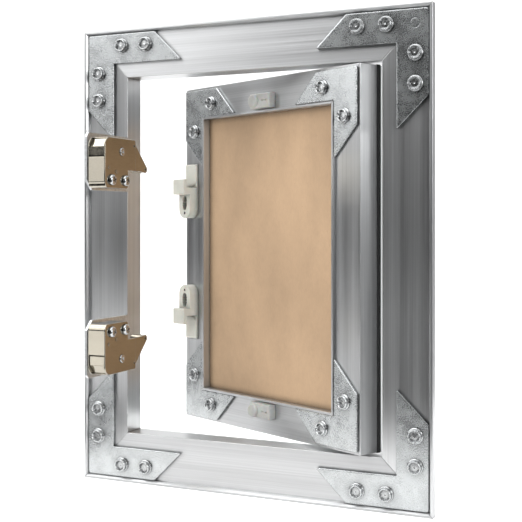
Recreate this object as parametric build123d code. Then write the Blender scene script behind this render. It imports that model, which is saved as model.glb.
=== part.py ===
from build123d import *
import os

os.makedirs("parts", exist_ok=True)

# Access panel for a drywall lining, in millimetres.
# +X points to the hinge side, +Y into the room, +Z up.
# The origin is the centre of the wall cut-out, on the plane where the frame's flange bears on
# the back of the wall board. The door is modelled closed and then turned open about its pins.

# Opening and wall
opening_width = 147.0
opening_height = 197.0
wall_board_thickness = 12.5

# Frame extrusion
flange_width = 26.5
flange_thickness = 1.5
frame_wall = 1.5
lip_width = 1.2
lip_height = 3.0
lip_chamfer_run = 0.8
lip_chamfer_drop = 1.3
mitre_gap = 0.2
section_round = 0.25
mitre_cut_margin = 5.0
mitre_cut_depth = 60.0

# Frame corner plates
frame_plate_thickness = 2.0
frame_plate_inset = 2.35
frame_plate_leg_width = 16.2
frame_plate_leg_length = 42.4
frame_plate_corner_round = 1.2
plate_tip_round = 0.3
frame_button_first = 21.6
frame_button_second = 36.7
frame_button_across = 6.7

# Clinch buttons that join plates to extrusions
button_base_radius = 4.0
button_ring_radius = 3.4
button_dish_radius = 2.6
button_height = 2.6
button_dish_depth = 1.5
button_flange_height = 0.4
button_flange_bevel = 0.25
button_flange_taper = 0.15
button_rim_bevel = 0.35
button_rim_width = 0.36
button_dish_taper = 0.6
button_dish_crown = 0.08
button_shank_radius = 2.2
button_shank_clearance = 0.03
door_button_height = 2.2

# Door
door_side_gap = 2.0
door_end_gap = 1.5
door_depth = 15.5
door_flange_width = 17.5
door_flange_thickness = 1.5
door_wall = 1.6
door_rib_width = 1.3
door_rib_height = 1.8
door_board_thickness = 12.5
board_paper_thickness = 0.4
board_edge_clearance = 0.1
board_seat_rib_width = 1.2
board_seat_rib_inset = 2.6
open_angle = 24.9

# Door corner plates
door_plate_thickness = 1.5
door_plate_inset = 1.4
door_plate_leg_width = 15.9
door_plate_leg_length = 29.0
door_plate_corner_round = 0.8
door_button_along = 24.1
door_button_across = 8.5

# Seal round the door's edge
seal_height = 2.0
seal_groove_depth = 0.9
seal_proud = 0.35
seal_from_front = 1.4
seal_groove_clearance = 0.05
seal_pin_gap_radius = 3.3

# Door pivots
pivot_from_hinge_edge = 16.1
pivot_from_front = 2.9
hinge_pin_radius = 1.5
hinge_pin_head_radius = 2.8
hinge_pin_head_height = 1.2
hinge_pin_engagement = 4.5
hinge_pin_end_clearance = 0.5
hinge_pin_bevel = 0.4
hinge_fit_clearance = 0.05
hinge_press_clearance = 0.02
bush_radius = 2.4
bush_length = 6.0
bush_flange_radius = 2.75
bush_flange_thickness = 1.2

# Latches. Heights are above the upper latch's base line, and the lower latch mirrors them.
plate_to_foot_gap = 1.35
latch_pair_height = 1.0
housing_width = 10.3
housing_sheet = 0.6
housing_edge_round = 0.36
housing_back = -48.0
housing_bottom = 2.2
housing_top = 28.4
housing_front_top = -18.1
housing_front_low = -25.7
housing_step_height = 11.8
housing_front_round = 1.5
housing_back_low_round = 3.2
housing_back_top_round = 4.8
housing_web_top = 18.0
housing_eye_radius = 0.6
housing_eye_from_front = 1.6
housing_eye_from_top = 3.3
back_plate_gap = 0.6
back_plate_thickness = 0.8
back_plate_side_clearance = 0.15
back_plate_step = 0.5

claw_pivot_y = -31.8
claw_pivot_z = 21.3
claw_hub_radius = 5.3
claw_left_clearance = 0.4
claw_right_clearance = 0.2
claw_side_plate = 1.0
claw_top_clearance = 1.1
claw_nose_y = -6.9
claw_nose_z = 13.3
claw_nose_radius = 1.9
claw_nose_eye_radius = 0.7
claw_slope_inset = 0.4
claw_underside_rise = 0.6
claw_underside_run = 4.0
claw_heel_gap = 0.6
claw_heel_run = 3.6
claw_heel_rise = 4.0
claw_notch_depth = 3.8
claw_notch_slope = 1.5
spring_pocket_width = 3.3
claw_pin_radius = 1.5
claw_pin_head_radius = 2.2
claw_pin_head_height = 0.6
claw_pin_head_round = 0.48
claw_pin_dimple_radius = 0.84

pawl_pivot_y = -37.0
pawl_pivot_z = 10.7
pawl_hub_radius = 2.0
pawl_thickness = 4.0
pawl_shift = 0.6
pawl_finger_height = 4.6
pawl_finger_lean = 1.4
pawl_finger_width = 1.2
pawl_tail_length = 5.3
pawl_tail_top = 0.5
pawl_tail_low = -0.7
pawl_pin_radius = 1.0
spring_anchor_y = -44.4
spring_anchor_z = 12.6
spring_anchor_radius = 0.8
cross_pin_proud = 0.25
pin_fit_clearance = 0.05

spring_wire_radius = 0.35
spring_knuckle_radius = 0.4
spring_coil_radius = 2.5
spring_coils = 3
spring_coil_gap = 0.08
spring_leg_clearance = 0.15
spring_pocket_front = 4.45

latch_screw_height = 6.4
latch_screw_back = -41.8
latch_screw_front = -28.8
screw_shank_radius = 1.5
screw_head_radius = 2.8
screw_head_height = 1.9
screw_hole_clearance = 0.1
screw_cross_length = 3.0
screw_cross_width = 0.7
screw_cross_depth = 0.9
pan_head_round_share = 0.75
latch_screw_back_turn = 20
latch_screw_front_turn = 65
spacer_radius = 3.0
spacer_length = 5.1

bracket_sheet = 1.5
bracket_depth = 39.7
bracket_bottom = 1.5
bracket_top = 31.6
bracket_low_chamfer = 5.0
bracket_top_round = 3.0
bracket_foot_length = 16.5
bracket_foot_inset = 2.5
bracket_bend_round = 1.2
bracket_rivet_inset = 8.0
bracket_rivet_from_end = 3.9
rivet_head_radius = 2.6
rivet_head_height = 1.1
rivet_head_round = 0.88
rivet_shank_radius = 1.6

# Keepers on the door, with heights as for the upper latch
keeper_edge_inset = 0.6
keeper_width = 10.8
keeper_foot_end = -12.9
keeper_body_height = 6.0
keeper_neck_start = 0.9
keeper_neck_end = 5.0
keeper_hook_end = 9.8
keeper_hook_height = 10.6
keeper_hook_thickness = 2.0
keeper_pad_end = 18.9
keeper_pad_height = 1.6
keeper_pad_round = 1.2
keeper_base_height = 1.0
keeper_edge_round = 0.6
keeper_slot_width = 4.6
keeper_slot_start = -8.2
keeper_slot_end = 0.2
keeper_slot_floor = 1.8
keeper_tooth_depth = 0.45
keeper_tooth_pitch = 1.5
keeper_tooth_half_width = 0.65
keeper_small_hole_radius = 0.8
keeper_small_hole_height = -9.9
keeper_screw_height = -4.0
keeper_screw_radius = 1.3
keeper_screw_head_radius = 1.8
keeper_screw_head_height = 1.5
keeper_screw_depth = 2.6
keeper_screw_clearance = 0.15
keeper_screw_travel = 2.8

# Board clips in the middle of the top and bottom door rails
clip_length = 16.0
clip_width = 8.0
clip_height = 4.6
clip_boss_radius = 3.6
clip_boss_height = 6.2
clip_from_door_end = 12.7
clip_hole_radius = 0.6
clip_hole_spread = 1.6
clip_round = 1.0

# How far a cut reaches past the face it starts from
cut_margin = 1.0

# Places worked out from the sizes above
opening_half_x = opening_width / 2
opening_half_z = opening_height / 2
frame_half_x = opening_half_x + flange_width
frame_half_z = opening_half_z + flange_width
flange_back = -flange_thickness
door_half_x = opening_half_x - door_side_gap
door_half_z = opening_half_z - door_end_gap
door_back = wall_board_thickness - door_depth
pivot_x = door_half_x - pivot_from_hinge_edge
pivot_y = wall_board_thickness - pivot_from_front
board_back = door_depth - door_board_thickness
frame_plate_end_z = (frame_half_z - frame_plate_inset - frame_plate_leg_length
                     - frame_plate_leg_width)
foot_low = bracket_bottom + bracket_foot_inset
foot_high = bracket_top - bracket_foot_inset
latch_level = frame_plate_end_z - plate_to_foot_gap - foot_high - latch_pair_height
bracket_face = -opening_half_x
bracket_outer = bracket_face - bracket_sheet
housing_left_face = bracket_face + spacer_length
housing_right_face = housing_left_face + housing_width
inside_left = housing_left_face + housing_sheet
inside_right = housing_right_face - housing_sheet
claw_left = inside_left + claw_left_clearance
claw_right = inside_right - claw_right_clearance
claw_core_right = claw_right - claw_side_plate
keeper_left = -door_half_x + keeper_edge_inset
diagonal = 0.5 ** 0.5


def flat_xz(face, y_low, y_high):
    """Plate from a face drawn in x and z, between two depths."""
    plane = Plane(origin=(0, y_high, 0), x_dir=(1, 0, 0), z_dir=(0, -1, 0))
    return extrude(plane * face, amount=y_high - y_low)


def flat_yz(face, x_low, x_high):
    """Plate from a face drawn in y and z, between two x places."""
    return extrude(Pos(x_low, 0, 0) * (Plane.YZ * face), amount=x_high - x_low)


def outline(points):
    return make_face(Polyline(*points, close=True))


def round_corner(face, spot, radius):
    """Round the corner of a face that lies nearest to a place."""
    nearest = min(face.vertices(), key=lambda v: (v.X - spot[0]) ** 2 + (v.Y - spot[1]) ** 2)
    return fillet([nearest], radius)


def rod_x(radius, x_low, x_high, y, z):
    middle = Pos((x_low + x_high) / 2, y, z) * Rot(0, 90, 0)
    return middle * Cylinder(radius, x_high - x_low)


def rod_y(radius, y_low, y_high, x, z):
    return Pos(x, (y_low + y_high) / 2, z) * Rot(90, 0, 0) * Cylinder(radius, y_high - y_low)


def rod_z(radius, z_low, z_high, x, y):
    return Pos(x, y, (z_low + z_high) / 2) * Cylinder(radius, z_high - z_low)


def block(x_low, x_high, y_low, y_high, z_low, z_high):
    size = Box(x_high - x_low, y_high - y_low, z_high - z_low)
    return Pos((x_low + x_high) / 2, (y_low + y_high) / 2, (z_low + z_high) / 2) * size


def open_door(solid):
    """Turn a piece of the closed door open about its pins."""
    return Pos(pivot_x, pivot_y, 0) * Rot(0, 0, -open_angle) * Pos(-pivot_x, -pivot_y, 0) * solid


def four_corners(solid):
    """Copies of a piece at the upper hinge corner, for all four corners."""
    top_latch = mirror(solid, Plane.YZ)
    return {
        "top_hinge": solid,
        "top_latch": top_latch,
        "bottom_hinge": mirror(solid, Plane.XY),
        "bottom_latch": mirror(top_latch, Plane.XY),
    }


# Mitred rails

def mitred_rail(section, half_run, half_across, turn):
    """Length of extrusion along X with its outer edge down, turned about Y to its side."""
    reach = flange_width + mitre_cut_margin
    end = half_run - mitre_gap / 2
    placed = Plane.YZ * (Pos(0, -half_across) * section)
    bar = extrude(placed, amount=half_run, both=True)
    ends = flat_xz(
        outline([(-end, -half_across), (end, -half_across),
                 (end - reach, reach - half_across), (reach - end, reach - half_across)]),
        -mitre_cut_depth, mitre_cut_depth)
    return Rot(0, turn, 0) * (bar & ends)


def frame_section():
    """Section in depth and distance in from the outer edge."""
    lip_top = flange_back - lip_height
    chamfer_foot = lip_top + lip_chamfer_drop
    lip_foot = lip_width + lip_chamfer_run
    face = outline([
        (0, 0), (lip_top, 0), (lip_top, lip_width), (chamfer_foot, lip_foot),
        (flange_back, lip_foot), (flange_back, flange_width),
        (wall_board_thickness, flange_width),
        (wall_board_thickness, flange_width - frame_wall), (0, flange_width - frame_wall)])
    return fillet(face.vertices(), section_round)


def door_section():
    """Section in depth from the flange's back and distance in from the outer edge."""
    rib_end = door_flange_width + door_rib_width
    seat_end = board_seat_rib_inset + board_seat_rib_width
    groove_front = door_depth - seal_from_front
    groove_back = groove_front - seal_height
    face = outline([
        (0, 0), (0, door_flange_width), (-door_rib_height, door_flange_width),
        (-door_rib_height, rib_end), (board_back, rib_end), (board_back, door_flange_width),
        (door_flange_thickness, door_flange_width), (door_flange_thickness, seat_end),
        (board_back, seat_end), (board_back, board_seat_rib_inset),
        (door_flange_thickness, board_seat_rib_inset), (door_flange_thickness, door_wall),
        (door_depth, door_wall), (door_depth, 0), (groove_front, 0),
        (groove_front, seal_groove_depth), (groove_back, seal_groove_depth), (groove_back, 0)])
    corners = [v for v in face.vertices() if abs(v.Y - seal_groove_depth) > section_round]
    return Pos(door_back, 0) * fillet(corners, section_round)


def rail_set(section, half_x, half_z):
    """Rails of the four sides, each a quarter turn on from the one before."""
    rails = {}
    for quarter, side in enumerate(("bottom", "latch", "top", "hinge")):
        along, across = (half_z, half_x) if quarter % 2 else (half_x, half_z)
        rails[side] = mitred_rail(section, along, across, 90 * quarter)
    return rails


# Corner plates and clinch buttons

def corner_plate(half_x, half_z, inset, width, length, y_low, y_high, corner_round):
    """L-shaped plate with sloped ends at the upper hinge corner."""
    x, z = half_x - inset, half_z - inset
    corner = (x, z)
    tips = [(x - length, z), (x - length - width, z - width), (x - width, z - width),
            (x - width, z - length - width), (x, z - length)]
    face = round_corner(outline([corner] + tips), corner, corner_round)
    for tip in tips:
        face = round_corner(face, tip, plate_tip_round)
    return flat_xz(face, y_low, y_high)


def frame_button_places():
    x, z = frame_half_x - frame_plate_inset, frame_half_z - frame_plate_inset
    places = []
    for along in (frame_button_first, frame_button_second):
        places.append((x - along, z - frame_button_across))
        places.append((x - frame_button_across, z - along))
    return places


def door_button_places():
    x, z = door_half_x - door_plate_inset, door_half_z - door_plate_inset
    return [(x - door_button_along, z - door_button_across),
            (x - door_button_across, z - door_button_along)]


def clinch_button(height, shank_length):
    """Button standing along +Z from the plate's face, with its shank below."""
    rim = (button_ring_radius + button_dish_radius) / 2
    half_rim = button_rim_width / 2
    rim_foot = height - button_rim_bevel
    dish_low = height - button_dish_depth
    profile = outline([
        (0, -shank_length), (button_shank_radius, -shank_length), (button_shank_radius, 0),
        (button_base_radius, 0), (button_base_radius, button_flange_height),
        (button_ring_radius + button_flange_taper, button_flange_height + button_flange_bevel),
        (button_ring_radius, rim_foot), (rim + half_rim, height), (rim - half_rim, height),
        (button_dish_radius, rim_foot), (button_dish_radius - button_dish_taper, dish_low),
        (0, dish_low + button_dish_crown)])
    return revolve(Plane.XZ * profile, Axis.Z)


def button_set(places, face_y, height, shank_length):
    """Buttons at a list of places round the upper hinge corner, for all four corners."""
    button = Rot(90, 0, 0) * clinch_button(height, shank_length)
    solids = []
    for x, z in places:
        for sign_x in (1, -1):
            for sign_z in (1, -1):
                solids.append(Pos(sign_x * x, face_y, sign_z * z) * button)
    return solids


def shank_holes(places, y_low, y_high):
    radius = button_shank_radius + button_shank_clearance
    holes = []
    for x, z in places:
        for sign_x in (1, -1):
            for sign_z in (1, -1):
                holes.append(rod_y(radius, y_low, y_high, sign_x * x, sign_z * z))
    return Compound(holes)


# Hinge pins and bushes, made at the top

def hinge_pin():
    wall_outer = opening_half_z + frame_wall
    low = door_half_z - hinge_pin_engagement
    shank = rod_z(hinge_pin_radius, low, wall_outer, pivot_x, pivot_y)
    shank = chamfer(shank.edges().sort_by(Axis.Z)[0], hinge_pin_bevel)
    head = rod_z(hinge_pin_head_radius, wall_outer, wall_outer + hinge_pin_head_height,
                 pivot_x, pivot_y)
    head = fillet(head.edges().sort_by(Axis.Z)[-1], hinge_pin_bevel)
    return shank + head


def hinge_bush():
    body = rod_z(bush_radius, door_half_z - bush_length, door_half_z, pivot_x, pivot_y)
    flange = rod_z(bush_flange_radius, door_half_z, door_half_z + bush_flange_thickness,
                   pivot_x, pivot_y)
    bore_end = door_half_z - hinge_pin_engagement - hinge_pin_end_clearance
    bore = rod_z(hinge_pin_radius + hinge_fit_clearance, bore_end, opening_half_z,
                 pivot_x, pivot_y)
    return body + flange - bore


def both_ends(solid):
    return {"upper": solid, "lower": mirror(solid, Plane.XY)}


def latch_pair(solid):
    """A latch or keeper piece at the upper latch's level, and its mirror image below."""
    level = Pos(0, 0, latch_level) * solid
    rise = Pos(0, 0, latch_pair_height)
    return {"upper": rise * level, "lower": rise * mirror(level, Plane.XY)}


def latch_heights(height):
    """Both heights above the panel's middle of a place on the latches or keepers."""
    return [latch_pair_height + latch_level + height, latch_pair_height - latch_level - height]


# Latch, made as the upper one

def housing_outline():
    face = outline([
        (housing_back, housing_bottom), (housing_front_low, housing_bottom),
        (housing_front_low, housing_step_height), (housing_front_top, housing_step_height),
        (housing_front_top, housing_top), (housing_back, housing_top)])
    for spot, radius in (((housing_back, housing_bottom), housing_back_low_round),
                         ((housing_back, housing_top), housing_back_top_round),
                         ((housing_front_low, housing_bottom), housing_front_round),
                         ((housing_front_top, housing_top), housing_front_round)):
        face = round_corner(face, spot, radius)
    return face


def latch_housing():
    """Folded sheet with two cheeks, open to the front and at the upper back."""
    shell = flat_yz(housing_outline(), housing_left_face, housing_right_face)
    long_edges = shell.edges().filter_by(Plane.YZ)
    back, front = housing_back + housing_sheet, housing_front_top + cut_margin
    low, top = housing_bottom + housing_sheet, housing_top - housing_sheet
    cavity = outline([(back, low), (front, low), (front, top), (back, top)])
    cavity = round_corner(cavity, (back, low), housing_back_low_round - housing_sheet)
    cavity = round_corner(cavity, (back, top), housing_back_top_round - housing_sheet)
    shell = fillet(long_edges, housing_edge_round)
    shell -= flat_yz(cavity, inside_left, inside_right)
    window_front = housing_back + housing_back_top_round
    shell -= block(inside_left, inside_right, housing_back - cut_margin, window_front,
                   housing_web_top, housing_top + cut_margin)
    left, right = housing_left_face - cut_margin, housing_right_face + cut_margin
    for y in (latch_screw_back, latch_screw_front):
        shell -= rod_x(screw_shank_radius + screw_hole_clearance, left, right,
                       y, latch_screw_height)
    shell -= rod_x(housing_eye_radius, left, right, housing_front_top - housing_eye_from_front,
                   housing_top - housing_eye_from_top)
    for radius, y, z in ((claw_pin_radius, claw_pivot_y, claw_pivot_z),
                         (pawl_pin_radius, pawl_pivot_y, pawl_pivot_z),
                         (spring_anchor_radius, spring_anchor_y, spring_anchor_z)):
        shell -= rod_x(radius + hinge_press_clearance, left, right, y, z)
    return shell


def latch_back_plate():
    """Bent strip that closes the upper back between the cheeks."""
    low = housing_web_top + back_plate_gap
    back = housing_back + back_plate_step
    reach = housing_back_top_round - back_plate_step
    top = housing_top - housing_sheet - back_plate_side_clearance
    bend = top - reach
    inner = back + back_plate_thickness
    # The strip is as thick past its 45 degree bend as before it.
    slant = back_plate_thickness * diagonal
    inner_bend = bend - (2 * slant - back_plate_thickness)
    strip = outline([
        (back, low), (back, bend), (back + reach, top), (back + reach + slant, top - slant),
        (inner, inner_bend), (inner, low)])
    return flat_yz(strip, inside_left + back_plate_side_clearance,
                   inside_right - back_plate_side_clearance)


def claw_outline(underside):
    """Hub, arm and nose in y and z, with the underside given from nose to hub."""
    top = housing_top - claw_top_clearance
    slope_start = housing_front_top - claw_slope_inset
    hub = Pos(claw_pivot_y, claw_pivot_z) * Circle(claw_hub_radius)
    nose = Pos(claw_nose_y, claw_nose_z) * Circle(claw_nose_radius)
    slant = claw_nose_radius * diagonal
    arm = outline([
        (claw_pivot_y, top), (slope_start, top),
        (claw_nose_y + slant, claw_nose_z + slant)] + underside
        + [(claw_pivot_y, claw_pivot_z - claw_hub_radius)])
    return arm + hub + nose


def claw():
    """Hook whose full side plate shows beside a core that is notched for the keeper."""
    low = claw_nose_z - claw_nose_radius
    notch_top = low + claw_notch_depth
    nose_back = claw_nose_y - claw_nose_radius
    heel = housing_front_low + claw_heel_gap
    side = claw_outline([
        (claw_nose_y, low), (nose_back - claw_underside_run, low + claw_underside_rise),
        (heel, housing_step_height),
        (heel - claw_heel_run, housing_step_height + claw_heel_rise)])
    core = claw_outline([
        (claw_nose_y, low), (nose_back, claw_nose_z), (nose_back, notch_top),
        (heel, notch_top + claw_notch_slope)])
    solid = flat_yz(core, claw_left, claw_core_right) + flat_yz(side, claw_core_right, claw_right)
    solid -= block(claw_core_right - spring_pocket_width, claw_core_right,
                   claw_pivot_y - 2 * claw_hub_radius, claw_pivot_y + spring_pocket_front,
                   claw_pivot_z - 2 * claw_hub_radius, housing_top)
    for radius, y, z in ((claw_pin_radius + pin_fit_clearance, claw_pivot_y, claw_pivot_z),
                         (claw_nose_eye_radius, claw_nose_y, claw_nose_z)):
        solid -= rod_x(radius, claw_left - cut_margin, claw_right + cut_margin, y, z)
    return solid


def claw_pin():
    """Pin that carries the claw and, through a spacer, ties the housing to the bracket."""
    shank = rod_x(claw_pin_radius, bracket_outer, housing_right_face,
                  claw_pivot_y, claw_pivot_z)
    head = fillet(Cylinder(claw_pin_head_radius, claw_pin_head_height).edges().sort_by(Axis.Z)[-1],
                  claw_pin_head_round)
    dimple = Pos(0, 0, claw_pin_head_height) * Sphere(claw_pin_dimple_radius)
    head = head - dimple
    right = Pos(housing_right_face + claw_pin_head_height / 2, claw_pivot_y, claw_pivot_z)
    left = Pos(bracket_outer - claw_pin_head_height / 2, claw_pivot_y, claw_pivot_z)
    return shank + right * Rot(0, 90, 0) * head + left * Rot(0, -90, 0) * head


def latch_cross_pins():
    left, right = housing_left_face - cross_pin_proud, housing_right_face + cross_pin_proud
    return [rod_x(pawl_pin_radius, left, right, pawl_pivot_y, pawl_pivot_z),
            rod_x(spring_anchor_radius, left, right, spring_anchor_y, spring_anchor_z)]


def pawl():
    """Small locking lever under the claw's hub."""
    y, z = pawl_pivot_y, pawl_pivot_z
    hub = pawl_hub_radius * diagonal
    finger_front = y + pawl_finger_lean + pawl_finger_width
    face = Pos(y, z) * Circle(pawl_hub_radius)
    face += outline([
        (y - hub, z + hub), (y + pawl_finger_lean, z + pawl_finger_height),
        (finger_front, z + pawl_finger_height), (finger_front, z + pawl_tail_top),
        (y + pawl_tail_length, z + pawl_tail_top), (y + pawl_tail_length, z + pawl_tail_low),
        (y + hub, z - hub)])
    middle = (inside_left + inside_right) / 2 - pawl_shift
    solid = flat_yz(face, middle - pawl_thickness / 2, middle + pawl_thickness / 2)
    return solid - rod_x(pawl_pin_radius + pin_fit_clearance, inside_left, inside_right, y, z)


def straight_wire(start, end):
    """Straight run of spring wire that starts in a small knuckle."""
    run = Line(start, end)
    rod = sweep(Plane(origin=run @ 0, z_dir=run % 0) * Circle(spring_wire_radius), path=run)
    return rod + Pos(start) * Sphere(spring_knuckle_radius)


def claw_spring():
    """Wire spring: coils round the claw's pin, one leg to the anchor pin, one to the claw."""
    pitch = 2 * spring_wire_radius + spring_coil_gap
    helix = Helix(pitch=pitch, height=pitch * spring_coils, radius=spring_coil_radius)
    coil = sweep(Plane(origin=helix @ 0, z_dir=helix % 0) * Circle(spring_wire_radius), path=helix)
    anchor_top = (spring_anchor_z + spring_anchor_radius + spring_wire_radius
                  + spring_leg_clearance)
    drop = claw_pivot_z - anchor_top
    back_leg = straight_wire(helix @ 0, Vector(drop, spring_anchor_y - claw_pivot_y, 0))
    front_reach = spring_pocket_front - spring_wire_radius - spring_leg_clearance
    front_leg = straight_wire(helix @ 1, (helix @ 1) + Vector(0, front_reach, 0))
    middle = claw_core_right - spring_pocket_width / 2
    place = Plane(origin=(middle - pitch * spring_coils / 2, claw_pivot_y, claw_pivot_z),
                  x_dir=(0, 0, -1), z_dir=(1, 0, 0))
    return place * (coil + back_leg + front_leg)


def cross_recess(depth):
    arm = Box(screw_cross_length, screw_cross_width, depth)
    return arm + Rot(0, 0, 90) * arm


def pan_screw(shank_radius, shank_length, head_radius, head_height):
    """Pan-head screw along Z, with its head above zero."""
    head = Cylinder(head_radius, head_height, align=(Align.CENTER, Align.CENTER, Align.MIN))
    head = fillet(head.edges().sort_by(Axis.Z)[-1], head_height * pan_head_round_share)
    head -= Pos(0, 0, head_height) * cross_recess(screw_cross_depth)
    shank = Cylinder(shank_radius, shank_length, align=(Align.CENTER, Align.CENTER, Align.MAX))
    return head + shank


def latch_screws():
    """Front screw that goes on through a spacer into the bracket, and back screw that ends in
    the housing's far cheek."""
    screws = []
    for y, turn, end in ((latch_screw_back, latch_screw_back_turn, housing_left_face),
                         (latch_screw_front, latch_screw_front_turn, bracket_outer)):
        screw = pan_screw(screw_shank_radius, housing_right_face - end,
                          screw_head_radius, screw_head_height)
        seat = Pos(housing_right_face, y, latch_screw_height)
        screws.append(seat * Rot(0, 90, 0) * Rot(0, 0, turn) * screw)
    return screws


def latch_spacers():
    """Tubes between housing and bracket, round the front screw and the claw's pin."""
    spacers = []
    for radius, y, z in ((screw_shank_radius, latch_screw_front, latch_screw_height),
                         (claw_pin_radius, claw_pivot_y, claw_pivot_z)):
        tube = Cylinder(spacer_radius, spacer_length)
        tube -= Cylinder(radius + screw_hole_clearance, 2 * spacer_length)
        middle = Pos((housing_left_face + bracket_face) / 2, y, z)
        spacers.append(middle * Rot(0, 90, 0) * tube)
    return spacers


def bracket_rivet_places():
    x = bracket_outer - bracket_rivet_inset
    return [(x, foot_low + bracket_rivet_from_end), (x, foot_high - bracket_rivet_from_end)]


def latch_bracket():
    """Angle bracket: foot on the frame's flange, upright standing into the cavity."""
    end = flange_back - bracket_depth
    upright = outline([
        (flange_back, bracket_bottom), (end + bracket_low_chamfer, bracket_bottom),
        (end, bracket_bottom + bracket_low_chamfer), (end, bracket_top),
        (flange_back, bracket_top)])
    upright = round_corner(upright, (end, bracket_top), bracket_top_round)
    solid = flat_yz(upright, bracket_outer, bracket_face)
    foot_end = bracket_outer - bracket_foot_length
    foot = block(foot_end, bracket_face, flange_back - bracket_sheet, flange_back,
                 foot_low, foot_high)
    foot = fillet(foot.edges().filter_by(Axis.Y).sort_by(Axis.X)[:2], bracket_top_round)
    solid += foot
    crease = Vector(bracket_outer, flange_back - bracket_sheet, (foot_low + foot_high) / 2)
    bend = solid.edges().filter_by(Axis.Z).sort_by_distance(crease)[0]
    solid = fillet([bend], bracket_bend_round)
    for x, z in bracket_rivet_places():
        solid -= rod_y(rivet_shank_radius + button_shank_clearance,
                       flange_back - bracket_sheet - cut_margin, flange_back + cut_margin, x, z)
    for radius, y, z in ((screw_shank_radius, latch_screw_front, latch_screw_height),
                         (claw_pin_radius, claw_pivot_y, claw_pivot_z)):
        solid -= rod_x(radius + hinge_press_clearance, bracket_outer - cut_margin,
                       bracket_face + cut_margin, y, z)
    return solid


def bracket_rivets():
    face_y = flange_back - bracket_sheet
    head = Cylinder(rivet_head_radius, rivet_head_height,
                    align=(Align.CENTER, Align.CENTER, Align.MIN))
    head = fillet(head.edges().sort_by(Axis.Z)[-1], rivet_head_round)
    shank = Cylinder(rivet_shank_radius, bracket_sheet + flange_thickness,
                     align=(Align.CENTER, Align.CENTER, Align.MAX))
    rivet = Rot(90, 0, 0) * (head + shank)
    return [Pos(x, face_y, z) * rivet for x, z in bracket_rivet_places()]


# Keeper, made as the upper one on the closed door

def keeper_span(low, high, z_low, z_high):
    """Block of the keeper between two heights above the door's flange."""
    return block(keeper_left, keeper_left + keeper_width, door_back - high, door_back - low,
                 z_low, z_high)


def keeper_slot():
    """Adjusting slot with toothed sides."""
    middle = keeper_left + keeper_width / 2
    half = keeper_slot_width / 2 - keeper_tooth_depth
    ends = (keeper_slot_start + half, keeper_slot_end - half)
    face = outline([(middle - half, ends[0]), (middle + half, ends[0]),
                    (middle + half, ends[1]), (middle - half, ends[1])])
    for z in ends:
        face += Pos(middle, z) * Circle(half)
    teeth = int((ends[1] - ends[0]) // keeper_tooth_pitch)
    start = (ends[0] + ends[1] - (teeth - 1) * keeper_tooth_pitch) / 2
    bite = keeper_tooth_half_width
    reach = half + keeper_tooth_depth
    for tooth in range(teeth):
        z = start + tooth * keeper_tooth_pitch
        face += outline([
            (middle - half, z - bite), (middle - reach, z), (middle - half, z + bite),
            (middle + half, z + bite), (middle + reach, z), (middle + half, z - bite)])
    top = door_back - keeper_body_height
    return flat_xz(face, top - cut_margin, door_back - keeper_slot_floor)


def keeper():
    """Nylon strike: slotted foot, raised hook and the pad that the claw's nose meets."""
    middle = keeper_left + keeper_width / 2
    round_end = keeper_foot_end + keeper_width / 2
    foot = keeper_span(0, keeper_body_height, round_end, keeper_neck_end)
    foot += rod_y(keeper_width / 2, door_back - keeper_body_height, door_back, middle, round_end)
    hook = keeper_span(0, keeper_hook_height, keeper_neck_start, keeper_neck_end)
    hook += keeper_span(keeper_hook_height - keeper_hook_thickness, keeper_hook_height,
                        keeper_neck_start, keeper_hook_end)
    top_y = door_back - keeper_hook_height
    hook_edges = [edge for edge in hook.edges() if abs(edge.center().Y - top_y) < 0.01]
    hook = fillet(hook_edges, keeper_edge_round)
    pad_start = keeper_neck_end + keeper_width / 2
    pad_y = door_back - keeper_pad_height
    pad = keeper_span(0, keeper_pad_height, pad_start, keeper_pad_end)
    pad += rod_y(keeper_width / 2, pad_y, door_back, middle, pad_start)
    pad_edges = [edge for edge in pad.edges() if abs(edge.center().Y - pad_y) < 0.01]
    pad = fillet(pad_edges, keeper_pad_round)
    base = keeper_span(0, keeper_base_height, keeper_neck_end, pad_start)
    solid = foot + hook + base + pad - keeper_slot()
    floor = door_back - keeper_slot_floor
    low = keeper_screw_height - keeper_screw_travel / 2
    high = keeper_screw_height + keeper_screw_travel / 2
    half = keeper_screw_radius + keeper_screw_clearance
    for z in (low, high):
        solid -= rod_y(half, floor - cut_margin, door_back + cut_margin, middle, z)
    solid -= block(middle - half, middle + half, floor - cut_margin, door_back + cut_margin,
                   low, high)
    return solid - rod_y(keeper_small_hole_radius, door_back - keeper_body_height - cut_margin,
                         floor, middle, keeper_small_hole_height)


def keeper_screw():
    screw = pan_screw(keeper_screw_radius, keeper_slot_floor + keeper_screw_depth,
                      keeper_screw_head_radius, keeper_screw_head_height)
    middle = keeper_left + keeper_width / 2
    return Pos(middle, door_back - keeper_slot_floor, keeper_screw_height) * Rot(90, 0, 0) * screw


# Board clip, made as the upper one on the closed door

def board_clip():
    z = door_half_z - clip_from_door_end
    body = block(-clip_length / 2, clip_length / 2, door_back - clip_height, door_back,
                 z - clip_width / 2, z + clip_width / 2)
    top_y = door_back - clip_height
    edges = [edge for edge in body.edges() if abs(edge.center().Y - top_y) < 0.01]
    body = fillet(edges, clip_round)
    boss_x = clip_boss_radius - clip_length / 2
    boss = rod_y(clip_boss_radius, door_back - clip_boss_height, door_back, boss_x, z)
    boss = fillet(boss.edges().sort_by(Axis.Y)[0], clip_round)
    solid = body + boss
    for shift in (-clip_hole_spread, clip_hole_spread):
        x = clip_length / 2 - clip_round - 2 * clip_hole_radius - clip_hole_spread + shift
        solid -= rod_y(clip_hole_radius, top_y - cut_margin, door_back - clip_height / 2, x, z)
    return solid


# Board and seal of the closed door

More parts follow.
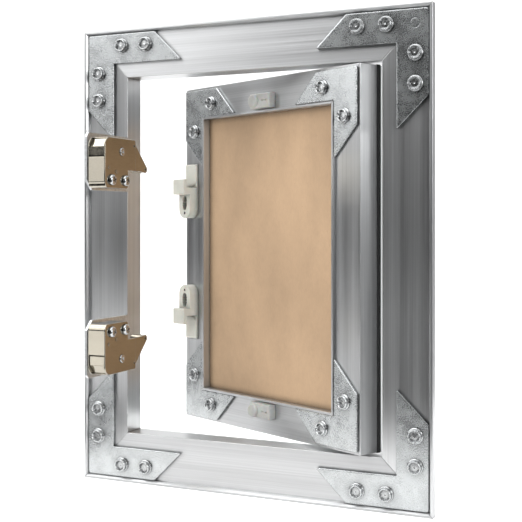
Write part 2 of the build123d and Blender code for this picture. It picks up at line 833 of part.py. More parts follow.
def board_sheet(y_low, y_high):
    half_x = door_half_x - door_wall - board_edge_clearance
    half_z = door_half_z - door_wall - board_edge_clearance
    sheet = block(-half_x, half_x, y_low, y_high, -half_z, half_z)
    bore = rod_z(bush_radius + hinge_press_clearance,
                 door_half_z - bush_length - board_edge_clearance, door_half_z, pivot_x, pivot_y)
    return sheet - bore - mirror(bore, Plane.XY)


def door_seal():
    """Rubber strip in the groove round the door's edge, left out at the two pins."""
    front = wall_board_thickness - seal_from_front - seal_groove_clearance
    back = front - seal_height + 2 * seal_groove_clearance
    outer_x, outer_z = door_half_x + seal_proud, door_half_z + seal_proud
    inner_x = door_half_x - seal_groove_depth + seal_groove_clearance
    inner_z = door_half_z - seal_groove_depth + seal_groove_clearance
    loop = block(-outer_x, outer_x, back, front, -outer_z, outer_z)
    loop = fillet(loop.edges().filter_by(Axis.Y), seal_proud)
    loop -= block(-inner_x, inner_x, back - cut_margin, front + cut_margin, -inner_z, inner_z)
    loop -= rod_z(seal_pin_gap_radius, -2 * door_half_z, 2 * door_half_z, pivot_x, pivot_y)
    return loop.solids()


def export(name, solids):
    """Write one node, as one solid or a group of separate solids."""
    if not isinstance(solids, list):
        solids = list(solids.solids())
    shape = solids[0] if len(solids) == 1 else Compound(solids)
    export_step(shape, "parts/" + name + ".step")


def make_frame():
    plate_back = flange_back - frame_plate_thickness
    holes = shank_holes(frame_button_places(), plate_back - cut_margin, cut_margin)
    rails = rail_set(frame_section(), frame_half_x, frame_half_z)
    rivet_holes = [rod_y(rivet_shank_radius + button_shank_clearance, flange_back - cut_margin,
                         cut_margin, x, height)
                   for x, z in bracket_rivet_places() for height in latch_heights(z)]
    pin_hole = rod_z(hinge_pin_radius + hinge_press_clearance, -2 * frame_half_z,
                     2 * frame_half_z, pivot_x, pivot_y)
    for side, rail in rails.items():
        rail -= holes
        if side == "latch":
            rail -= Compound(rivet_holes)
        if side in ("top", "bottom"):
            rail -= pin_hole
        export("frame_" + side + "_rail", rail)
    plate = corner_plate(frame_half_x, frame_half_z, frame_plate_inset, frame_plate_leg_width,
                         frame_plate_leg_length, plate_back, flange_back, frame_plate_corner_round)
    for corner, solid in four_corners(plate - holes).items():
        export("frame_plate_" + corner, solid)
    export("frame_clinch_buttons",
           button_set(frame_button_places(), plate_back, button_height,
                      frame_plate_thickness + flange_thickness))
    for end, solid in both_ends(hinge_pin()).items():
        export(end + "_hinge_pin", solid)


def make_latches():
    pieces = {
        "latch_bracket": [latch_bracket()], "bracket_rivets": bracket_rivets(),
        "latch_housing": [latch_housing()], "latch_back_plate": [latch_back_plate()],
        "latch_spacers": latch_spacers(), "latch_screws": latch_screws(),
        "claw_pin": [claw_pin()],
        "latch_cross_pins": latch_cross_pins(), "claw_spring": [claw_spring()],
        "claw": [claw()], "pawl": [pawl()],
    }
    for name, solids in pieces.items():
        pairs = [latch_pair(solid) for shape in solids for solid in shape.solids()]
        for end in ("upper", "lower"):
            export(end + "_" + name, [pair[end] for pair in pairs])


def make_door():
    plate_back = door_back - door_plate_thickness
    flange_front = door_back + door_flange_thickness
    holes = shank_holes(door_button_places(), plate_back - cut_margin, flange_front + cut_margin)
    bush_holes = rod_z(bush_radius + hinge_press_clearance, -2 * door_half_z, 2 * door_half_z,
                       pivot_x, pivot_y)
    middle = keeper_left + keeper_width / 2
    keeper_holes = [rod_y(keeper_screw_radius + button_shank_clearance, door_back - cut_margin,
                          flange_front + cut_margin, middle, height)
                    for height in latch_heights(keeper_screw_height)]
    for side, rail in rail_set(door_section(), door_half_x, door_half_z).items():
        rail -= holes
        if side == "latch":
            rail -= Compound(keeper_holes)
        if side in ("top", "bottom"):
            rail -= bush_holes
        export("door_" + side + "_rail", open_door(rail))
    plate = corner_plate(door_half_x, door_half_z, door_plate_inset, door_plate_leg_width,
                         door_plate_leg_length, plate_back, door_back, door_plate_corner_round)
    for corner, solid in four_corners(plate - holes).items():
        export("door_plate_" + corner, open_door(solid))
    buttons = button_set(door_button_places(), plate_back, door_button_height,
                         door_plate_thickness + door_flange_thickness)
    export("door_clinch_buttons", [open_door(solid) for solid in buttons])
    back = door_back + board_back
    front = wall_board_thickness
    export("board_back_paper", open_door(board_sheet(back, back + board_paper_thickness)))
    export("board_core", open_door(board_sheet(back + board_paper_thickness,
                                               front - board_paper_thickness)))
    export("board_face_paper", open_door(board_sheet(front - board_paper_thickness, front)))
    for end, solid in both_ends(hinge_bush()).items():
        export(end + "_hinge_bush", open_door(solid))
    for end, solid in latch_pair(keeper()).items():
        export(end + "_keeper", open_door(solid))
    screws = [open_door(solid) for solid in latch_pair(keeper_screw()).values()]
    export("keeper_screws", [solid for shape in screws for solid in shape.solids()])
    clip = board_clip()
    export("top_board_clip", open_door(clip))
    export("bottom_board_clip", open_door(mirror(clip, Plane.XY)))
    export("door_seal", [open_door(solid) for solid in door_seal()])


make_frame()
make_latches()
make_door()
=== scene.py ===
import math

import bpy
from bpy.props import FloatProperty, FloatVectorProperty, PointerProperty
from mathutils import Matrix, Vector


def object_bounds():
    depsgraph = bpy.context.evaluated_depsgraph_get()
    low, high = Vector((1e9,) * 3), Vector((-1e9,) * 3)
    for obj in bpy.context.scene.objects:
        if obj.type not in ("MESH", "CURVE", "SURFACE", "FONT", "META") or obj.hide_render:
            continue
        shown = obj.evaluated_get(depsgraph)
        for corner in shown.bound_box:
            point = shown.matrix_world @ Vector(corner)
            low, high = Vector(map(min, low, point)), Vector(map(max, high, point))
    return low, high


bl_info = {
    "name": "Drywall access panel",
    "version": (1, 0, 0),
    "blender": (4, 5, 0),
    "location": "3D View > Sidebar > Access panel",
    "description": "Finishes an access panel with an open door and sets up its studio",
    "category": "Object",
}

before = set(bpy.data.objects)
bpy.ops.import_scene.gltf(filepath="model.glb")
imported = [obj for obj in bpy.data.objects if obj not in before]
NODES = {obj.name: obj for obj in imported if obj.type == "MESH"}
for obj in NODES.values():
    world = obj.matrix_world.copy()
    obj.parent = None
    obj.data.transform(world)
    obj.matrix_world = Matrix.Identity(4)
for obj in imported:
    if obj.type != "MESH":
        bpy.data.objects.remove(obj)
CAD_BOX = [list(corner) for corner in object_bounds()]
FLOOR = CAD_BOX[0][2]

MM = 0.001
WHITE = (1.0, 1.0, 1.0)
RUN_X = (1.0, 0.0, 0.0)
RUN_Z = (0.0, 0.0, 1.0)
DOOR_ANGLE = math.radians(24.9)

# In millimetres: centre, radius and line width of the round stamp on a corner plate, and the
# height of the bend in the upper latch's back plate, below which it is scuffed.
STAMP_PLACE = (90.9, 0.0, 115.8)
STAMP_RADIUS = 2.4
STAMP_WIDTH = 0.6
STRIP_BEND = 57.0

# Most of a noise's values lie between these two.
NOISE_LOW, NOISE_HIGH = 0.3, 0.7
# Shares of open sky at which the painted nook shade is darkest and a face is fully open.
NOOK_DEEP, NOOK_OPEN = 0.35, 0.95

# The camera stands where the photograph was taken from, and its picture is shifted by some of
# the photograph's pixels. Places and sizes from here on are in metres.
CAMERA_PLACE = (0.2287, -0.4914, 0.0182)
CAMERA_TURN = math.radians(24.28)
PHOTO_WIDTH = 522
PHOTO_SHIFT = -38.7

# The paper runs level from its front edge to the bend, curves up and ends at its top. Its glow
# is a share of white.
PAPER_SIDE = 6.0
PAPER_FRONT = -6.0
PAPER_BEND = 1.0
PAPER_BEND_RADIUS = 0.6
PAPER_BEND_STEPS = 8
PAPER_TOP = 2.4
PAPER_GLOW = 0.25

# Height in the sky, from 0 straight down to 1 straight up, and the grey there.
SKY = ((0.40, 0.40), (0.46, 0.18), (0.57, 0.18), (0.64, 0.60), (0.80, 1.0))

# Name, place, width and height, power in watts, and the point that the softbox faces.
CENTRE = (0.0, 0.0, 0.0)
SOFTBOXES = (
    ("left_softbox", (-0.42, -0.59, 0.095), (0.07, 0.15), 0.046, (-0.063, -0.048, 0.095)),
    ("upper_left_softbox", (-0.80, -1.10, 0.50), (0.45, 0.30), 0.75, CENTRE),
    ("fold_softbox", (-0.75, 0.06, 1.10), (0.30, 0.30), 0.65, CENTRE),
    ("key_softbox", (-0.68, -0.88, 1.05), (1.5, 0.8), 9.2, CENTRE),
    ("top_softbox", (-0.2, -0.1, 1.4), (2.0, 1.4), 13.0, CENTRE),
    ("right_softbox", (1.05, -0.45, 0.30), (0.50, 0.40), 4.6, CENTRE),
    ("side_softbox", (-1.10, -0.62, 0.40), (0.5, 0.5), 1.6, CENTRE),
)

# Name and two opposite corners of each flat card, with heights above the floor. A card that
# lies on the floor is lifted just clear of the paper.
LYING = 0.001
BLACK_CARDS = (
    ("back_card", (-0.45, -0.9, 0.0), (0.75, -0.9, 0.475)),
    ("upper_back_card", (-0.28, -0.9, 0.475), (0.75, -0.9, 0.745)),
    ("floor_card", (-0.24, -0.9, LYING), (1.6, -0.15, LYING)),
    ("left_floor_card", (-1.6, -0.5, LYING), (-0.5, -0.13, LYING)),
    ("side_floor_card", (-0.6, -0.13, LYING), (-0.26, 0.02, LYING)),
    ("near_floor_card", (-0.26, -0.15, LYING), (-0.13, -0.06, LYING)),
    ("left_back_card", (-1.6, -0.87, 0.0), (-0.45, -0.87, 0.205)),
    ("side_card", (-1.3, -0.87, 0.0), (-1.3, 0.4, 0.235)),
    ("right_card", (0.12, 0.30, 0.0), (0.34, 0.30, 0.475)),
)


def srgb(code):
    """Linear colour from a hex code."""
    values = [int(code[i:i + 2], 16) / 255 for i in (1, 3, 5)]
    return tuple(v / 12.92 if v <= 0.04045 else ((v + 0.055) / 1.055) ** 2.4 for v in values)


def rgba(colour):
    """Opaque colour."""
    return (*colour[:3], 1.0)


def scaled(parts, share):
    """Colour or place with each part times a share."""
    return tuple(part * share for part in parts)


def add(tree, kind, links=None, values=None, stops=(), **settings):
    """Add a node, set its options and input values, link its inputs and set its ramp.

    The inputs of a Mix node go by number: 0 is the share of the second, 2 and 3 are two
    values, and 6 and 7 are two colours."""
    node = tree.nodes.new(kind)
    for name, value in settings.items():
        setattr(node, name, value)
    for name, value in (values or {}).items():
        node.inputs[name].default_value = value
    for name, source in (links or {}).items():
        tree.links.new(source, node.inputs[name])
    if stops:
        elements = node.color_ramp.elements
        while len(elements) < len(stops):
            elements.new(0.5)
        for element, (position, colour) in zip(elements, stops):
            element.position = position
            element.color = rgba(colour)
    return node


def surface(name, **values):
    """New material and its shader, with constants set on the shader's own sockets."""
    material = bpy.data.materials.new(name)
    material.use_nodes = True
    shader = material.node_tree.nodes["Principled BSDF"]
    for socket, value in values.items():
        shader.inputs[socket.replace("_", " ")].default_value = value
    return material, material.node_tree, shader


def marks(tree, size, turn=0.0, detail=2.0, roughness=0.5):
    """Uneven value with marks of a size in millimetres, either one or a size along each of X,
    Y and Z, on a piece that is turned open about Z by an angle."""
    coords = add(tree, "ShaderNodeTexCoord").outputs["Object"]
    if turn:
        coords = add(tree, "ShaderNodeVectorRotate", {"Vector": coords}, {"Angle": turn},
                     rotation_type="Z_AXIS").outputs["Vector"]
    sizes = size if isinstance(size, tuple) else (size,) * 3
    coords = add(tree, "ShaderNodeVectorMath", {0: coords},
                 {1: tuple(1 / (part * MM) for part in sizes)}, operation="MULTIPLY")
    node = add(tree, "ShaderNodeTexNoise", {"Vector": coords.outputs["Vector"]},
               {"Scale": 1.0, "Detail": detail, "Roughness": roughness})
    return node.outputs["Fac"]


def toned(tree, value, colour, share, low=0.35, high=0.6):
    """Colour that goes from a darker share of itself to full as a value goes from low to
    high."""
    return add(tree, "ShaderNodeValToRGB", {"Fac": value},
               stops=((low, scaled(colour, share)), (high, colour))).outputs["Color"]


def painted_nook_shade(tree, colour, reach, share):
    """Colour darkened to a share of itself in nooks that are as wide as a reach in
    millimetres: painted shade where less light comes in."""
    # Painted shade: ambient occlusion darkens the colour where less light falls.
    nook = add(tree, "ShaderNodeAmbientOcclusion", values={"Distance": reach * MM}, samples=6)
    shade = add(tree, "ShaderNodeValToRGB", {"Fac": nook.outputs["AO"]},
                stops=((NOOK_DEEP, (share,) * 3), (NOOK_OPEN, WHITE)))
    return add(tree, "ShaderNodeMix", {6: colour, 7: shade.outputs["Color"]}, {0: 1.0},
               data_type="RGBA", blend_type="MULTIPLY").outputs[2]


def link_surface(tree, shader, colour, rough, relief):
    """Link the colour of a surface, its roughness and its relief.

    rough is an uneven value, and the roughness at its low and at its high end. relief is the
    value for the height, the depth of the relief in millimetres, and the radius in
    millimetres that the edges are softened by."""
    value, smooth, dull = rough
    height, depth, radius = relief
    spread = add(tree, "ShaderNodeMapRange", {"Value": value}, {
        "From Min": NOISE_LOW, "From Max": NOISE_HIGH, "To Min": smooth, "To Max": dull})
    links = {"Height": height}
    if radius:
        links["Normal"] = add(tree, "ShaderNodeBevel", values={"Radius": radius * MM},
                              samples=8).outputs["Normal"]
    bump = add(tree, "ShaderNodeBump", links, {"Strength": 1.0, "Distance": depth * MM})
    tree.links.new(colour, shader.inputs["Base Color"])
    tree.links.new(spread.outputs["Result"], shader.inputs["Roughness"])
    tree.links.new(bump.outputs["Normal"], shader.inputs["Normal"])


def extruded_aluminium(name, colour, run, turn=0.0):
    """Mill-finish extruded aluminium: bare grey metal, drawn through a die, so that fine lines
    run along the rail and smear reflections across it."""
    material, tree, shader = surface(
        name, Metallic=1.0, Anisotropic=0.75, Anisotropic_Rotation=0.25)
    # Die lines are about 0.2 mm apart. They are drawn 0.7 mm apart so that they show.
    fine = marks(tree, tuple(90.0 if part else 0.7 for part in run), turn, detail=3.0)
    # Broad bands of slightly different polish, 5 mm wide, from wear of the die.
    broad = marks(tree, tuple(350.0 if part else 5.0 for part in run), turn, detail=1.0)
    both = add(tree, "ShaderNodeMath", {0: fine, 1: broad}, operation="ADD").outputs[0]
    half = add(tree, "ShaderNodeMath", {0: both}, {1: 0.5}, operation="MULTIPLY").outputs[0]
    base = toned(tree, half, colour, share=0.80, high=0.62)
    # Painted shade in the rails' nooks and beside the plates.
    base = painted_nook_shade(tree, base, reach=1.5, share=0.6)
    link_surface(tree, shader, base, rough=(half, 0.28, 0.40), relief=(fine, 0.01, 0.3))
    lines = (math.cos(turn), -math.sin(turn), 0.0) if run == RUN_X else run
    lay = add(tree, "ShaderNodeCombineXYZ", values=dict(zip("XYZ", lines)))
    tangent = add(tree, "ShaderNodeVectorTransform", {"Vector": lay.outputs["Vector"]},
                  vector_type="VECTOR", convert_from="OBJECT", convert_to="WORLD")
    tree.links.new(tangent.outputs["Vector"], shader.inputs["Tangent"])
    return material


def galvanised_sheet(name, colour, turn=0.0, stamped=False):
    """Hot-dip galvanised steel: matt zinc with a fine sparkle and slow clouds of tone, and on
    one plate a round stamp mark."""
    material, tree, shader = surface(name, Metallic=1.0)
    # Grains of the zinc's skin are 0.3 mm. They are drawn 0.5 mm wide so that they show.
    grain = marks(tree, 0.5, turn, detail=1.0)
    cloud = marks(tree, 9.0, turn, detail=3.0, roughness=0.6)
    value = add(tree, "ShaderNodeMix", {2: grain, 3: cloud}, {0: 0.55}).outputs[0]
    base = toned(tree, value, colour, share=0.70, low=0.36)
    height = grain
    if stamped:
        mark = stamp_ring(tree)
        shade = add(tree, "ShaderNodeValToRGB", {"Fac": mark},
                    stops=((0.0, WHITE), (1.0, (0.6, 0.6, 0.6))))
        base = add(tree, "ShaderNodeMix", {6: base, 7: shade.outputs["Color"]}, {0: 1.0},
                   data_type="RGBA", blend_type="MULTIPLY").outputs[2]
        height = add(tree, "ShaderNodeMath", {0: grain, 1: mark},
                     operation="SUBTRACT").outputs[0]
    # Painted shade round the buttons and in the plates' nooks.
    base = painted_nook_shade(tree, base, reach=4.0, share=0.2)
    link_surface(tree, shader, base, rough=(value, 0.20, 0.34), relief=(height, 0.06, 1.0))
    return material


def stamp_ring(tree):
    """Value that is 1 on a ring round the stamp's place, mirrored to each corner of the frame,
    and fades to 0 over its width."""
    coords = add(tree, "ShaderNodeTexCoord").outputs["Object"]
    mirrored = add(tree, "ShaderNodeVectorMath", {0: coords}, operation="ABSOLUTE")
    flat = add(tree, "ShaderNodeVectorMath", {0: mirrored.outputs["Vector"]},
               {1: (1.0, 0.0, 1.0)}, operation="MULTIPLY")
    away = add(tree, "ShaderNodeVectorMath", {0: flat.outputs["Vector"]},
               {1: scaled(STAMP_PLACE, MM)}, operation="DISTANCE")
    off = add(tree, "ShaderNodeMath", {0: away.outputs["Value"]}, {1: STAMP_RADIUS * MM},
              operation="SUBTRACT")
    off = add(tree, "ShaderNodeMath", {0: off.outputs[0]}, operation="ABSOLUTE")
    ring = add(tree, "ShaderNodeMapRange", {"Value": off.outputs[0]}, {
        "From Min": 0.0, "From Max": STAMP_WIDTH * MM, "To Min": 1.0, "To Max": 0.0})
    return ring.outputs["Result"]


def pressed_aluminium(name, colour):
    """Cold-formed aluminium buttons: metal worked smooth by the punch, satin with faint swirls
    about 1 mm wide, with painted shade round the dish and in other nooks."""
    material, tree, shader = surface(name, Metallic=1.0)
    swirl = marks(tree, 1.2, detail=3.0)
    base = toned(tree, swirl, colour, share=0.80, high=0.65)
    # Painted shade round the dish and at the buttons' base.
    base = painted_nook_shade(tree, base, reach=2.2, share=0.12)
    link_surface(tree, shader, base, rough=(swirl, 0.20, 0.30), relief=(swirl, 0.02, 0.3))
    return material


def nickel_plate(name, colour, worn_below=None):
    """Bright nickel plate on pressed steel: a warm mirror with the sheet's slight waviness, and
    dull where it was scuffed below a height in millimetres."""
    material, tree, shader = surface(name, Metallic=1.0)
    wave = marks(tree, 6.0)
    scuff = marks(tree, (0.6, 4.0, 0.6), detail=3.0, roughness=0.7)
    base = toned(tree, scuff, colour, share=0.88, low=0.3)
    if worn_below is not None:
        coords = add(tree, "ShaderNodeTexCoord").outputs["Object"]
        height = add(tree, "ShaderNodeSeparateXYZ", {"Vector": coords}).outputs["Z"]
        worn = add(tree, "ShaderNodeMath", {0: height}, {1: worn_below * MM},
                   operation="LESS_THAN")
        scratch = marks(tree, (0.6, 0.6, 0.9), roughness=0.6)
        dull = add(tree, "ShaderNodeValToRGB", {"Fac": scratch},
                   stops=((0.42, scaled(colour, 0.05)), (0.58, scaled(colour, 0.34))))
        base = add(tree, "ShaderNodeMix",
                   {0: worn.outputs[0], 6: base, 7: dull.outputs["Color"]},
                   data_type="RGBA").outputs[2]
    # Painted shade in the latch's nooks, between its plates and parts.
    base = painted_nook_shade(tree, base, reach=2.5, share=0.35)
    link_surface(tree, shader, base, rough=(scuff, 0.05, 0.13), relief=(wave, 0.02, 0.4))
    return material


def zinc_plate(name, colour, smooth=0.12, dull=0.22):
    """Zinc plate on turned or pressed steel: cool and shiny, a little uneven in tone."""
    material, tree, shader = surface(name, Metallic=1.0)
    patch = marks(tree, 0.9, detail=3.0)
    base = toned(tree, patch, colour, share=0.78)
    # Painted shade where the zinc parts meet other parts.
    base = painted_nook_shade(tree, base, reach=1.5, share=0.15)
    link_surface(tree, shader, base, rough=(patch, smooth, dull), relief=(patch, 0.02, 0.2))
    return material


def moulded_nylon(name, colour):
    """Injection-moulded nylon: milky off-white that light sinks into, satin with a faint
    grain."""
    material, tree, shader = surface(
        name, IOR=1.53, Subsurface_Weight=0.15, Subsurface_Scale=1.0 * MM)
    grain = marks(tree, 0.6, detail=3.0)
    cloud = marks(tree, 7.0)
    base = toned(tree, cloud, colour, share=0.92)
    # Painted shade on the keepers' recesses and beside their faces.
    base = painted_nook_shade(tree, base, reach=4.0, share=0.4)
    link_surface(tree, shader, base, rough=(grain, 0.34, 0.46), relief=(grain, 0.03, 0.4))
    return material


def milky_polyethylene(name, colour):
    """Unpigmented polyethylene: waxy and half clear, so that the metal behind greys it."""
    material, tree, shader = surface(
        name, IOR=1.51, Transmission_Weight=0.45, Subsurface_Weight=0.3,
        Subsurface_Scale=2.0 * MM)
    cloud = marks(tree, 3.0)
    base = toned(tree, cloud, colour, share=0.90)
    link_surface(tree, shader, base, rough=(cloud, 0.28, 0.42), relief=(cloud, 0.05, 0.4))
    return material


def lining_paper(name, colour, fleck):
    """Paper of plasterboard: matt, of recycled fibres two millimetres long with a few pale
    flecks, with slow clouds of darker tone, and painted shade under the rails' edges."""
    material, tree, shader = surface(name, IOR=1.45)
    cloud = marks(tree, (35.0, 35.0, 70.0), DOOR_ANGLE)
    fibre = marks(tree, (0.6, 0.6, 2.2), DOOR_ANGLE, detail=3.0, roughness=0.7)
    speck = marks(tree, 1.2, DOOR_ANGLE, roughness=0.6)
    mottle = marks(tree, (5.0, 5.0, 7.0), DOOR_ANGLE, detail=3.0, roughness=0.6)
    slow = add(tree, "ShaderNodeMix", {2: cloud, 3: mottle}, {0: 0.22})
    mixed = add(tree, "ShaderNodeMix", {2: slow.outputs[0], 3: fibre}, {0: 0.25})
    flecks = add(tree, "ShaderNodeValToRGB", {"Fac": speck},
                 stops=((0.18, fleck), (0.26, WHITE)))
    base = toned(tree, mixed.outputs[0], colour, share=0.74, low=0.33, high=0.64)
    base = add(tree, "ShaderNodeMix", {6: base, 7: flecks.outputs["Color"]}, {0: 1.0},
               data_type="RGBA", blend_type="MULTIPLY").outputs[2]
    # Painted shade along the paper's edges, under the rails.
    base = painted_nook_shade(tree, base, reach=3.5, share=0.3)
    link_surface(tree, shader, base, rough=(fibre, 0.74, 0.9), relief=(fibre, 0.05, 0.0))
    return material


def gypsum(name, colour):
    """Set gypsum with pores and glass fibre: chalky, pale and rough."""
    material, tree, shader = surface(name, IOR=1.52)
    pore = marks(tree, 0.8, detail=4.0, roughness=0.7)
    base = toned(tree, pore, colour, share=0.80)
    link_surface(tree, shader, base, rough=(pore, 0.85, 0.97), relief=(pore, 0.2, 0.0))
    return material


def seal_rubber(name, colour):
    """Extruded EPDM rubber: black, dull, with a fine bloom along its length."""
    material, tree, shader = surface(name, IOR=1.52)
    bloom = marks(tree, (2.0, 0.6, 2.0), DOOR_ANGLE, detail=3.0)
    base = add(tree, "ShaderNodeValToRGB", {"Fac": bloom},
               stops=((0.35, colour), (0.65, scaled(colour, 1.8)))).outputs["Color"]
    link_surface(tree, shader, base, rough=(bloom, 0.55, 0.75), relief=(bloom, 0.05, 0.3))
    return material


def dress(material, *names):
    """Give CAD nodes their finish."""
    for name in names:
        slots = NODES[name].data.materials
        slots.clear()
        slots.append(material)


def colour_property(name, description, code):
    """Colour that a user can set, with a hex code as its default."""
    return FloatVectorProperty(name=name, description=description, subtype="COLOR",
                               default=srgb(code), min=0.0, max=1.0)


class AccessPanelSettings(bpy.types.PropertyGroup):
    rail_colour: colour_property(
        "Rail colour", "Bare aluminium of the frame's and door's rails", "#D4D5D6")
    plate_colour: colour_property(
        "Plate colour", "Zinc skin of the corner plates", "#CFD2D3")
    button_colour: colour_property(
        "Button colour", "Aluminium buttons on the corner plates", "#D0D2D3")
    nickel_colour: colour_property(
        "Latch colour", "Nickel plate of the latches", "#A9A396")
    bracket_colour: colour_property(
        "Bracket colour", "Zinc plate of the latches' brackets", "#D8DADB")
    zinc_colour: colour_property(
        "Screw colour", "Zinc plate of the latches' screws, spacers and claw pins", "#C6C8C9")
    nylon_colour: colour_property(
        "Keeper colour", "Nylon of the keepers and bushes", "#CCCBC1")
    clip_colour: colour_property(
        "Clip colour", "Half clear plastic of the board clips", "#DCDCD8")
    back_paper_colour: colour_property(
        "Back paper colour", "Kraft paper on the back of the infill board", "#BB9E7F")
    face_paper_colour: colour_property(
        "Face paper colour", "Green paper on the room side of the infill board", "#8FB39C")
    seal_colour: colour_property(
        "Seal colour", "Rubber strip round the door's edge", "#232323")
    lens: FloatProperty(
        name="Lens", description="Focal length on a 36 mm sensor", unit="CAMERA",
        default=70.99, min=20.0, max=200.0)


class PANEL_OT_rails(bpy.types.Operator):
    """Finish the mitred rails of the frame and the door"""
    bl_idname = "access_panel.rails"
    bl_label = "Rails"

    def execute(self, context):
        colour = context.scene.access_panel.rail_colour
        for part, kind, turn in (("frame_", "rails", 0.0), ("door_", "door rails", DOOR_ANGLE)):
            level = extruded_aluminium("Mill aluminium, level " + kind, colour, RUN_X, turn)
            upright = extruded_aluminium("Mill aluminium, upright " + kind, colour, RUN_Z, turn)
            dress(level, part + "top_rail", part + "bottom_rail")
            dress(upright, part + "latch_rail", part + "hinge_rail")
        return {"FINISHED"}


class PANEL_OT_corner_plates(bpy.types.Operator):
    """Finish the corner plates and their clinch buttons"""
    bl_idname = "access_panel.corner_plates"
    bl_label = "Corner plates"

    def execute(self, context):
        settings = context.scene.access_panel
        colour = settings.plate_colour
        corners = ("top_latch", "bottom_hinge", "bottom_latch")
        dress(galvanised_sheet("Galvanised corner plate", colour),
              *("frame_plate_" + corner for corner in corners))
        dress(galvanised_sheet("Galvanised corner plate with stamp", colour, stamped=True),
              "frame_plate_top_hinge")
        dress(galvanised_sheet("Galvanised door plate", colour, DOOR_ANGLE),
              *("door_plate_" + corner for corner in ("top_hinge", *corners)))
        dress(pressed_aluminium("Pressed aluminium buttons", settings.button_colour),
              "frame_clinch_buttons", "door_clinch_buttons")
        return {"FINISHED"}


class PANEL_OT_latches(bpy.types.Operator):
    """Finish the two claw latches with their brackets"""
    bl_idname = "access_panel.latches"
    bl_label = "Latches"

    def execute(self, context):
        settings = context.scene.access_panel
        nickel = nickel_plate("Bright nickel plate", settings.nickel_colour)
        zinc = zinc_plate("Bright zinc plate", settings.zinc_colour)
        bracket = zinc_plate("Satin zinc bracket", settings.bracket_colour,
                             smooth=0.34, dull=0.46)
        rivet = pressed_aluminium("Aluminium rivets", srgb("#DCDDDD"))
        spring = zinc_plate("Hard-drawn spring wire", srgb("#A9AAAB"))
        for end in ("upper_", "lower_"):
            for part in ("latch_housing", "latch_back_plate", "claw", "pawl",
                         "latch_cross_pins"):
                dress(nickel, end + part)
            for part in ("latch_screws", "latch_spacers", "claw_pin"):
                dress(zinc, end + part)
            dress(bracket, end + "latch_bracket")
            dress(rivet, end + "bracket_rivets")
            dress(spring, end + "claw_spring")
        dress(nickel_plate("Scuffed nickel strip", settings.nickel_colour, STRIP_BEND),
              "upper_latch_back_plate")
        return {"FINISHED"}


class PANEL_OT_keepers(bpy.types.Operator):
    """Finish the door's keepers and their screws, the board clips, and the hinges' bushes and
    pins"""
    bl_idname = "access_panel.keepers"
    bl_label = "Keepers, clips and hinges"

    def execute(self, context):
        settings = context.scene.access_panel
        dress(moulded_nylon("White moulded nylon", settings.nylon_colour),
              "upper_keeper", "lower_keeper", "upper_hinge_bush", "lower_hinge_bush")
        dress(zinc_plate("Bright zinc keeper screws", srgb("#CFD1D2")),
              "keeper_screws", "upper_hinge_pin", "lower_hinge_pin")
        dress(milky_polyethylene("Milky polyethylene", settings.clip_colour),
              "top_board_clip", "bottom_board_clip")
        return {"FINISHED"}


class PANEL_OT_board(bpy.types.Operator):
    """Finish the plasterboard infill and the rubber seal round it"""
    bl_idname = "access_panel.board"
    bl_label = "Board and seal"

    def execute(self, context):
        settings = context.scene.access_panel
        dress(lining_paper("Kraft paper", settings.back_paper_colour, srgb("#C9B59B")),
              "board_back_paper")
        dress(lining_paper("Green face paper", settings.face_paper_colour, srgb("#C8D2C9")),
              "board_face_paper")
        dress(gypsum("Gypsum core", srgb("#E4E1D8")), "board_core")
        dress(seal_rubber("Black EPDM rubber", settings.seal_colour), "door_seal")
        return {"FINISHED"}


def stage_sheet(name, corners, faces, material):
    """Thin stage piece that isn't part of the panel."""
    mesh = bpy.data.meshes.new(name)
    mesh.from_pydata(corners, [], faces)
    mesh.materials.append(material)
    for polygon in mesh.polygons:
        polygon.use_smooth = True
    piece = bpy.data.objects.new(name, mesh)
    bpy.context.scene.collection.objects.link(piece)
    return piece


def white_paper():
    """Matt white studio paper: lit like any paper, with a faint glow of its own that the camera
    and reflections see, so that the background stays white and the panel's shadow shows."""
    material, tree, shader = surface(
        "Matt white paper", Roughness=0.9, Base_Color=rgba(srgb("#F4F4F4")),
        Emission_Color=rgba(WHITE))
    path = add(tree, "ShaderNodeLightPath")
    seen = path.outputs["Is Camera Ray"]
    for other in ("Is Glossy Ray", "Is Transmission Ray"):
        seen = add(tree, "ShaderNodeMath", {0: seen, 1: path.outputs[other]},
                   operation="MAXIMUM").outputs[0]
    glow = add(tree, "ShaderNodeMath", {0: seen}, {1: PAPER_GLOW}, operation="MULTIPLY")
    tree.links.new(glow.outputs[0], shader.inputs["Emission Strength"])
    return material


def paper_sweep():
    """White paper that runs level under the panel and curves up behind it."""
    profile = [(PAPER_FRONT, 0.0), (PAPER_BEND, 0.0)]
    for step in range(1, PAPER_BEND_STEPS + 1):
        angle = math.radians(90 * step / PAPER_BEND_STEPS)
        profile.append((PAPER_BEND + PAPER_BEND_RADIUS * math.sin(angle),
                        PAPER_BEND_RADIUS * (1 - math.cos(angle))))
    profile.append((PAPER_BEND + PAPER_BEND_RADIUS, PAPER_TOP))
    corners = [(x, y, FLOOR + z) for x in (-PAPER_SIDE, PAPER_SIDE) for y, z in profile]
    count = len(profile)
    faces = [(i, i + count, i + count + 1, i + 1) for i in range(count - 1)]
    stage_sheet("paper_sweep", corners, faces, white_paper())


def black_cards():
    """Black cards that darken a part of what the metal reflects, and nothing else."""
    material = surface("Black card", Roughness=0.9, Base_Color=rgba(srgb("#161616")))[0]
    for name, low, high in BLACK_CARDS:
        first, second = (axis for axis in range(3) if low[axis] != high[axis])
        corners = []
        for far_axes in ((), (first,), (first, second), (second,)):
            x, y, z = (high[axis] if axis in far_axes else low[axis] for axis in range(3))
            corners.append((x, y, FLOOR + z))
        card = stage_sheet(name, corners, [(0, 1, 2, 3)], material)
        card.visible_camera = False
        card.visible_diffuse = False
        card.visible_shadow = False
        card.visible_transmission = False


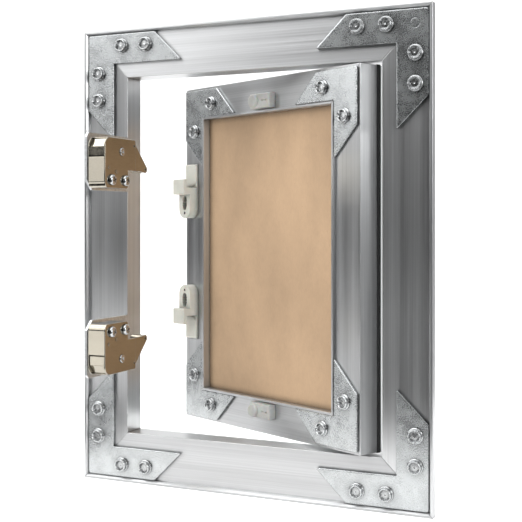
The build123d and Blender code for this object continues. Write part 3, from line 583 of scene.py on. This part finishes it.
def softboxes():
    """Soft rectangular lamps, each turned to face its point."""
    for name, where, size, power, target in SOFTBOXES:
        light = bpy.data.lights.new(name, "AREA")
        light.shape = "RECTANGLE"
        light.size, light.size_y = size
        light.energy = power
        lamp = bpy.data.objects.new(name, light)
        lamp.location = where
        lamp.rotation_mode = "QUATERNION"
        lamp.rotation_quaternion = (Vector(target) - Vector(where)).to_track_quat("-Z", "Y")
        bpy.context.scene.collection.objects.link(lamp)


def studio_sky():
    """World that is white overhead, dark at the horizon and grey below it, which gives the
    metal its tones."""
    world = bpy.data.worlds.new("Studio")
    world.use_nodes = True
    tree = world.node_tree
    coords = add(tree, "ShaderNodeTexCoord").outputs["Generated"]
    height = add(tree, "ShaderNodeSeparateXYZ", {"Vector": coords}).outputs["Z"]
    level = add(tree, "ShaderNodeMapRange", {"Value": height},
                {"From Min": -1.0, "From Max": 1.0})
    sky = add(tree, "ShaderNodeValToRGB", {"Fac": level.outputs["Result"]},
              stops=[(place, (grey,) * 3) for place, grey in SKY])
    background = tree.nodes["Background"]
    background.inputs["Strength"].default_value = 1.0
    tree.links.new(sky.outputs["Color"], background.inputs["Color"])
    return world


class PANEL_OT_studio(bpy.types.Operator):
    """Set up the paper sweep, the softboxes, the black cards, the sky and the camera"""
    bl_idname = "access_panel.studio"
    bl_label = "Studio"

    def execute(self, context):
        scene = context.scene
        scene.world = studio_sky()
        paper_sweep()
        softboxes()
        black_cards()
        camera = bpy.data.cameras.new("camera")
        camera.sensor_width = 36.0
        camera.lens = scene.access_panel.lens
        camera.shift_y = PHOTO_SHIFT / PHOTO_WIDTH
        camera.clip_start, camera.clip_end = 0.01, 20.0
        eye = bpy.data.objects.new("camera", camera)
        eye.location = CAMERA_PLACE
        eye.rotation_euler = (math.radians(90), 0.0, CAMERA_TURN)
        scene.collection.objects.link(eye)
        scene.camera = eye
        scene.view_settings.view_transform = "Standard"
        return {"FINISHED"}


class PANEL_PT_sidebar(bpy.types.Panel):
    bl_label = "Access panel"
    bl_idname = "PANEL_PT_access_panel"
    bl_space_type = "VIEW_3D"
    bl_region_type = "UI"
    bl_category = "Access panel"

    def draw(self, context):
        settings = context.scene.access_panel
        for name in AccessPanelSettings.__annotations__:
            self.layout.prop(settings, name)
        for operator in OPERATORS:
            self.layout.operator(operator.bl_idname)


OPERATORS = (PANEL_OT_rails, PANEL_OT_corner_plates, PANEL_OT_latches, PANEL_OT_keepers,
             PANEL_OT_board, PANEL_OT_studio)
CLASSES = (AccessPanelSettings, *OPERATORS, PANEL_PT_sidebar)


def register():
    for cls in CLASSES:
        bpy.utils.register_class(cls)
    bpy.types.Scene.access_panel = PointerProperty(type=AccessPanelSettings)


def unregister():
    del bpy.types.Scene.access_panel
    for cls in reversed(CLASSES):
        bpy.utils.unregister_class(cls)


def main():
    register()
    bpy.ops.access_panel.rails()
    bpy.ops.access_panel.corner_plates()
    bpy.ops.access_panel.latches()
    bpy.ops.access_panel.keepers()
    bpy.ops.access_panel.board()
    bpy.ops.access_panel.studio()


if __name__ == "__main__":
    main()
